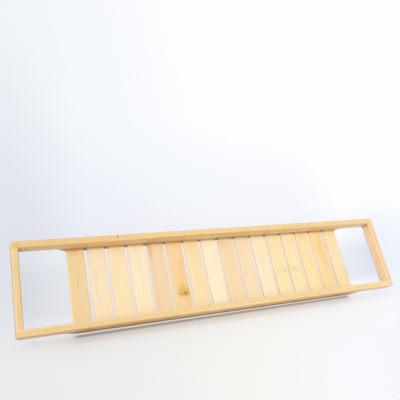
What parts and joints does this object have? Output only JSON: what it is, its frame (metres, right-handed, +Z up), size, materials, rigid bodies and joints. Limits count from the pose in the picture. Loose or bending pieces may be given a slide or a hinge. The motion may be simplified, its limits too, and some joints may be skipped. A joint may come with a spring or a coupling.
{
  "type": "bath caddy",
  "caption": "Slatted wooden tray that spans a bathtub: its shallow open ends rest on the rims and its deeper slatted middle carries toiletries between them.",
  "frame": {"origin": "centre of the caddy's length and width, in the plane of the side boards' lowest edges", "axes": "+X along the length, to the right end; +Y across the width, to the far side board; +Z up, out of the open top"},
  "size_m": [0.7384, 0.15, 0.04],
  "materials": {
    "frame_bamboo": "satin varnish",
    "slat_bamboo_tan": "satin varnish",
    "slat_bamboo_cream": "satin varnish",
    "slat_bamboo_pale": "satin varnish",
    "slat_bamboo_amber": "satin varnish",
    "slat_bamboo_yellow": "satin varnish",
    "dowel_wood": "raw"
  },
  "bodies": {
    "root": {"side_board_near": "frame_bamboo", "side_board_far": "frame_bamboo", "end_bar_left": "frame_bamboo", "end_bar_right": "frame_bamboo", "slat_01": "slat_bamboo_tan", "slat_02": "slat_bamboo_cream", "slat_03": "slat_bamboo_cream", "slat_04": "slat_bamboo_pale", "slat_05": "slat_bamboo_tan", "slat_06": "slat_bamboo_amber", "slat_07": "slat_bamboo_cream", "slat_08": "slat_bamboo_pale", "slat_09": "slat_bamboo_tan", "slat_10": "slat_bamboo_tan", "slat_11": "slat_bamboo_pale", "slat_12": "slat_bamboo_cream", "slat_13": "slat_bamboo_cream", "slat_14": "slat_bamboo_yellow", "slat_15": "slat_bamboo_yellow", "slat_16": "slat_bamboo_cream", "dowel_left_near_lower": "dowel_wood", "dowel_left_near_upper": "dowel_wood", "dowel_left_far_lower": "dowel_wood", "dowel_left_far_upper": "dowel_wood", "dowel_right_near_lower": "dowel_wood", "dowel_right_near_upper": "dowel_wood", "dowel_right_far_lower": "dowel_wood", "dowel_right_far_upper": "dowel_wood"}
  },
  "joints": []
}
